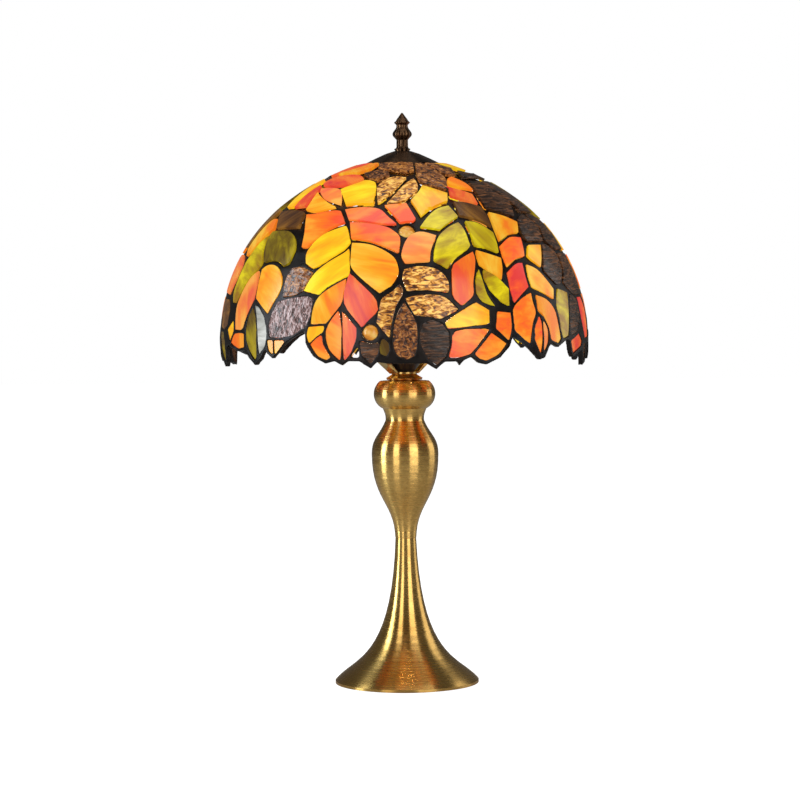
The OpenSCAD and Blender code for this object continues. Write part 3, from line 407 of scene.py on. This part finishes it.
# ---------------------------------------------------------------- glass panes
def loose_parts(node):
    """A CAD node as a bmesh with its doubled corners merged, and the corners of each separate solid in it."""
    whole = bmesh.new()
    whole.from_mesh(NODES[node].data)
    bmesh.ops.remove_doubles(whole, verts=whole.verts, dist=0.02 * MM)
    seen = set()
    parts = []
    for start in whole.verts:
        if start in seen:
            continue
        group = [start]
        seen.add(start)
        for vertex in group:
            for edge in vertex.link_edges:
                other = edge.other_vert(vertex)
                if other not in seen:
                    seen.add(other)
                    group.append(other)
        parts.append([(v.co.copy(), [(f.normal.copy(), f.calc_area(), f) for f in v.link_faces])
                      for v in group])
    return whole, parts


def outline_of(part):
    """The outer flat face of a pane: its loop of corners, its centre and its outward normal."""
    faces = {entry[2]: entry for _, around in part for entry in around}
    totals = {}
    for normal, size, face in faces.values():
        key = tuple(round(c, 2) for c in normal)
        totals.setdefault(key, [0.0, normal, []])
        totals[key][0] += size
        totals[key][2].append(face)
    centre = sum((co for co, _ in part), Vector()) / len(part)
    flats = sorted(totals.values(), key=lambda t: -t[0])[:2]
    outward = Vector((centre.x, centre.y, centre.z - 0.06))
    chosen = max(flats, key=lambda t: t[1].dot(outward))
    members = set(chosen[2])
    follow = {}
    for face in members:
        for loop in face.loops:
            if not any(other in members for other in loop.edge.link_faces if other is not face):
                follow[loop.vert] = loop.edge.other_vert(loop.vert)
    start = next(iter(follow))
    ring = [start]
    while follow[ring[-1]] is not start and len(ring) <= len(follow):
        ring.append(follow[ring[-1]])
    return [v.co.copy() for v in ring], centre, chosen[1].normalized()


def on_dome(place, out):
    """The place moved onto the dome's middle surface, then outward by the given distance."""
    reach = math.hypot(place.x, place.y)
    low = Vector((reach - LOW_CENTRE.x, place.z - LOW_CENTRE.y))
    centre, radius = (LOW_CENTRE, LOW_R) if math.atan2(low.y, low.x) <= JOIN else (TOP_CENTRE, TOP_R)
    spoke = Vector((reach - centre.x, place.z - centre.y)).normalized()
    spot = centre + spoke * (radius + out)
    return Vector((place.x / reach * spot.x, place.y / reach * spot.x, spot.y))


def add_pane(outline, normal, thick, spacing, relief, tone, verts, faces_out, tones):
    """Adds one pane: a finely divided outer face with its relief, an inner face and the wall between."""
    middle = sum(outline, Vector()) / len(outline)
    right = Vector((0, 0, 1)).cross(normal).normalized()
    up = normal.cross(right)
    flat = [Vector(((p - middle).dot(right), (p - middle).dot(up))) for p in outline]
    edge = smoothed(flat, True, 4, math.radians(48))
    low = Vector((min(p.x for p in edge), min(p.y for p in edge)))
    high = Vector((max(p.x for p in edge), max(p.y for p in edge)))
    rows = int((high.y - low.y) / (spacing * 0.87)) + 1
    columns = int((high.x - low.x) / spacing) + 1
    inside = [low + Vector(((column + 0.5 * (row % 2)) * spacing, row * spacing * 0.87))
              for row in range(rows) for column in range(columns)]
    border = [(i, (i + 1) % len(edge)) for i in range(len(edge))]
    spots, _, faces, _, _, _ = geometry.delaunay_2d_cdt(edge + inside, border, [], 1, 1e-6)
    places = [middle + right * spot.x + up * spot.y for spot in spots]
    first = len(verts)
    verts += [on_dome(place, thick / 2 + relief(place)) for place in places]
    second = len(verts)
    verts += [on_dome(place, -thick / 2) for place in places]
    tones += [tone] * (2 * len(places))
    used = set()
    for face in faces:
        a, b, c = (spots[i] for i in face[:3])
        if (b - a).cross(c - a) < 0:
            face = face[::-1]
        faces_out.append([first + i for i in face])
        faces_out.append([second + i for i in face[::-1]])
        used.update(zip(face, face[1:] + face[:1]))
    for i, j in used:
        if (j, i) not in used:
            faces_out.append([first + j, first + i, second + i, second + j])


def glass_relief(node):
    """How uneven a kind of glass is: soft waves on sheet glass, close ridges on ripple glass."""
    if node == "glass_mauve_ripple":
        return lambda p: 0.45 * MM * noise.noise(Vector((p.x * 420, p.y * 420, p.z * 150)))
    if "ripple" in node:
        return lambda p: 0.45 * MM * noise.noise(Vector((p.x * 200, p.y * 200, p.z * 380)))
    if node == "glass_dark":
        return lambda p: 0.4 * MM * noise.noise(Vector((p.x * 60, p.y * 60, p.z * 380)))
    return lambda p: 0.1 * MM * noise.noise(p * 70)


def make_glass(node):
    whole, parts = loose_parts(node)
    verts, faces, tones = [], [], []
    spacing = (1.2 if "ripple" in node else 1.8 if node == "glass_dark" else 4.0) * MM
    for part in parts:
        outline, centre, normal = outline_of(part)
        middle = sum(outline, Vector()) / len(outline)
        grown = [middle + (p - middle) * (1 + 0.7 * MM / max(2 * MM, (p - middle).length)) for p in outline]
        thick = 2 * abs((middle - centre).dot(normal)) * 0.8
        add_pane(grown, normal, thick, spacing, glass_relief(node), random.random(), verts, faces, tones)
    whole.free()
    mesh = bpy.data.meshes.new(node + "_panes")
    mesh.from_pydata([tuple(v) for v in verts], [], faces)
    mesh.attributes.new("pane", "FLOAT", "POINT").data.foreach_set("value", tones)
    mesh.shade_smooth()
    mesh.set_sharp_from_angle(angle=math.radians(50))
    stand_in(mesh, node + "_panes", node)


def make_jewels():
    """Pressed glass jewels: low domes with a ring of facets."""
    node = "glass_jewels"
    whole, parts = loose_parts(node)
    whole.free()
    body = bmesh.new()
    rings, sides = 10, 36
    for part in parts:
        places = [co for co, _ in part]
        centre = sum(places, Vector()) / len(places)
        radius = max((p - centre).length for p in places)
        low = Vector((math.hypot(centre.x, centre.y) - LOW_CENTRE.x, centre.z - LOW_CENTRE.y)).normalized()
        flat = Vector((centre.x, centre.y, 0)).normalized()
        normal = flat * low.x + Vector((0, 0, low.y))
        right = Vector((0, 0, 1)).cross(normal).normalized()
        up = normal.cross(right)
        loops = []
        for r in range(rings + 1):
            lift = math.pi * (r / rings - 0.5)
            loop = []
            for k in range(sides):
                turn = 2 * math.pi * k / sides
                facet = 0.3 * MM * abs(math.cos(4 * turn)) * math.cos(lift) * abs(math.sin(2 * lift))
                loop.append(body.verts.new(centre + (right * math.cos(turn) + up * math.sin(turn))
                                           * radius * math.cos(lift) * 0.999
                                           + normal * (0.62 * radius * math.sin(lift) - facet)))
            loops.append(loop)
        for below, above in zip(loops, loops[1:]):
            for k in range(sides):
                n = (k + 1) % sides
                body.faces.new((below[k], below[n], above[n], above[k]))
    bmesh.ops.remove_doubles(body, verts=body.verts, dist=0.01 * MM)
    bmesh.ops.recalc_face_normals(body, faces=body.faces)
    mesh = bpy.data.meshes.new("glass_jewels_pressed")
    body.to_mesh(mesh)
    body.free()
    mesh.attributes.new("pane", "FLOAT", "POINT").data.foreach_set("value", [0.5] * len(mesh.vertices))
    mesh.shade_smooth()
    stand_in(mesh, "glass_jewels_pressed", node)


# ---------------------------------------------------------------- solder
def apply_modifiers(piece):
    graph = bpy.context.evaluated_depsgraph_get()
    mesh = bpy.data.meshes.new_from_object(piece.evaluated_get(graph))
    piece.modifiers.clear()
    piece.data = mesh


BEAD_GRAIN = 0.7 * MM
BEAD_NARROWED = 0.45             # millimetres off each side of a bead


def make_solder():
    """The lattice as rounded beads of solder: the CAD lattice remeshed finely, smoothed and narrowed."""
    node = "solder_lattice"
    piece = stand_in(NODES[node].data.copy(), "solder_beads", node)
    remesh = piece.modifiers.new("remesh", "REMESH")
    remesh.mode = "VOXEL"
    remesh.voxel_size = BEAD_GRAIN
    soften = piece.modifiers.new("soften", "SMOOTH")
    soften.factor = 0.5
    soften.iterations = 6
    apply_modifiers(piece)
    mesh = piece.data
    for vertex, normal in [(v, v.normal.copy()) for v in mesh.vertices]:
        place = vertex.co
        spoke = (on_dome(place, 10 * MM) - on_dome(place, 0)).normalized()
        across = normal - spoke * normal.dot(spoke)
        lump = noise.noise(place * 90)
        vertex.co = place - across * (BEAD_NARROWED + 0.2 * lump) * MM + spoke * (0.1 + 0.25 * lump) * MM
    mesh.shade_smooth()
    dress(piece, SLOT_OF[node])


FINIAL_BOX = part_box("finial")


def finial_relief(angle, radius, height):
    """Flutes on the finial's stem and leafy ribs on its knob and bud."""
    part = (height - FINIAL_BOX[0][2]) / (FINIAL_BOX[1][2] - FINIAL_BOX[0][2])
    if radius < 4.2 * MM or part < 0.08:
        return 0.0
    if part < 0.27:
        return -0.5 * MM * abs(math.sin(4 * angle)) ** 3
    if part < 0.57:
        return 0.45 * MM * math.sin((part - 0.27) / 0.3 * math.pi) * (abs(math.cos(4 * angle)) - 0.6)
    return 0.35 * MM * (abs(math.cos(4 * angle + 0.7)) - 0.6)


FLANGE_T = 1.8 * MM
CUTTER_LONG = 0.1


def cut_outlet(foot):
    """The cable's hole through the back of the foot, and the seat of its grommet's flange."""
    low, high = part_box("cable_grommet")
    middle, flange = (low[2] + high[2]) / 2, (high[2] - low[2]) / 2
    barrel, seat = flange - 0.85 * MM, flange + 0.15 * MM
    for start, radius in ((low[1], barrel), (high[1] - FLANGE_T, seat)):
        mesh = bpy.data.meshes.new("cutter")
        tool = bmesh.new()
        place = Matrix.Translation((0, start + CUTTER_LONG / 2, middle))
        place = place @ Matrix.Rotation(math.pi / 2, 4, "X")
        bmesh.ops.create_cone(tool, cap_ends=True, segments=64, radius1=radius, radius2=radius,
                              depth=CUTTER_LONG, matrix=place)
        tool.to_mesh(mesh)
        tool.free()
        cutter = bpy.data.objects.new("cutter", mesh)
        bpy.context.scene.collection.objects.link(cutter)
        cut = foot.modifiers.new("outlet", "BOOLEAN")
        cut.operation, cut.solver, cut.object = "DIFFERENCE", "EXACT", cutter
        apply_modifiers(foot)
        bpy.data.objects.remove(cutter)
    foot.data.set_sharp_from_angle(angle=SHARP)


for turned in ("foot_trumpet", "waist_ring", "baluster_body", "neck_ball", "top_collar"):
    piece = turn_smooth(turned)
    if turned == "foot_trumpet":
        cut_outlet(piece)
turn_smooth("finial", math.radians(60), 4, finial_relief)
random.seed(7)
GLASS = [n for n in NODES if n.startswith("glass_") and n != "glass_jewels"]
for sheet in GLASS:
    make_glass(sheet)
make_jewels()
make_solder()

for name, cad in NODES.items():
    if name in SLOT_OF:
        dress(cad, SLOT_OF[name])
        for polygon in cad.data.polygons:
            polygon.use_smooth = True
        cad.data.set_sharp_from_angle(angle=SHARP)


# ---------------------------------------------------------------- light and stage
def add_light(name, kind, place, aim, energy, colour, size, size_y=None):
    data = bpy.data.lights.new(name, kind)
    data.energy = energy
    data.color = colour
    if kind == "AREA":
        data.shape = "RECTANGLE"
        data.size = size
        data.size_y = size_y or size
    else:
        data.shadow_soft_size = size
    light = bpy.data.objects.new(name, data)
    light.location = place
    light.rotation_euler = (Vector(aim) - Vector(place)).to_track_quat("-Z", "Y").to_euler()
    bpy.context.scene.collection.objects.link(light)


def make_world():
    """White to the camera; to everything else a dim room that leaves the softboxes their contrast."""
    world = bpy.data.worlds.new("world")
    world.use_nodes = True
    tree = world.node_tree
    seen, room = tree.nodes["Background"], tree.nodes.new("ShaderNodeBackground")
    seen.inputs[0].default_value = (1.0, 1.0, 1.0, 1.0)
    seen.inputs[1].default_value = 1.0
    room.inputs[0].default_value = (1.0, 0.97, 0.92, 1.0)
    room.inputs[1].default_value = 0.1
    pick = tree.nodes.new("ShaderNodeMixShader")
    path = tree.nodes.new("ShaderNodeLightPath")
    tree.links.new(path.outputs["Is Camera Ray"], pick.inputs[0])
    tree.links.new(room.outputs[0], pick.inputs[1])
    tree.links.new(seen.outputs[0], pick.inputs[2])
    tree.links.new(pick.outputs[0], tree.nodes["World Output"].inputs["Surface"])
    bpy.context.scene.world = world


def make_stage():
    mesh = bpy.data.meshes.new("floor")
    half = 6.0
    corners = [(-half, -half, 0), (half, -half, 0), (half, half, 0), (-half, half, 0)]
    mesh.from_pydata(corners, [], [(0, 1, 2, 3)])
    floor = bpy.data.objects.new("floor", mesh)
    bpy.context.scene.collection.objects.link(floor)
    look = Look("floor", Roughness=0.8)
    look.shader.inputs["Specular IOR Level"].default_value = 0.0
    paper = look.ramp(look.noise(3.0), [(0.3, (0.55, 0.55, 0.55)), (0.7, (0.58, 0.58, 0.58))])
    look.link(paper, "Base Color")
    look.link(paper, "Emission Color")
    seen = look.add("LightPath").outputs["Is Camera Ray"]
    glow = look.add("MapRange", {"Value": seen, "To Min": 0.0, "To Max": 1.8}).outputs[0]
    look.link(glow, "Emission Strength")
    floor.data.materials.append(look.material)
    for name, turn, energy, width, colour in (("left", -81, 24.0, 0.5, (0.82, 0.93, 1)),
                                              ("left_front", -31, 10.0, 0.6, (1, 0.98, 0.95)),
                                              ("right_front", 31, 14.0, 0.9, (1, 0.98, 0.95)),
                                              ("right_back", 108, 7.0, 0.9, (1, 0.98, 0.95))):
        angle = math.radians(turn)
        place = (1.7 * math.sin(angle), -1.7 * math.cos(angle), 0.55)
        add_light(name, "AREA", place, (0, 0, 0.4), energy, colour, width, 1.9)
    add_light("top", "AREA", (0.1, -0.2, 1.9), (0, 0, 0.3), 9.0, (1, 1, 1), 1.4)
    middle = [(a + b) / 2 for a, b in zip(*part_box("bulb_glass"))]
    add_light("bulb", "POINT", middle, (0, 0, 0), 1.2, (1.0, 0.8, 0.55), 0.03)


make_world()
make_stage()
scene = bpy.context.scene
scene.view_settings.view_transform = "Standard"
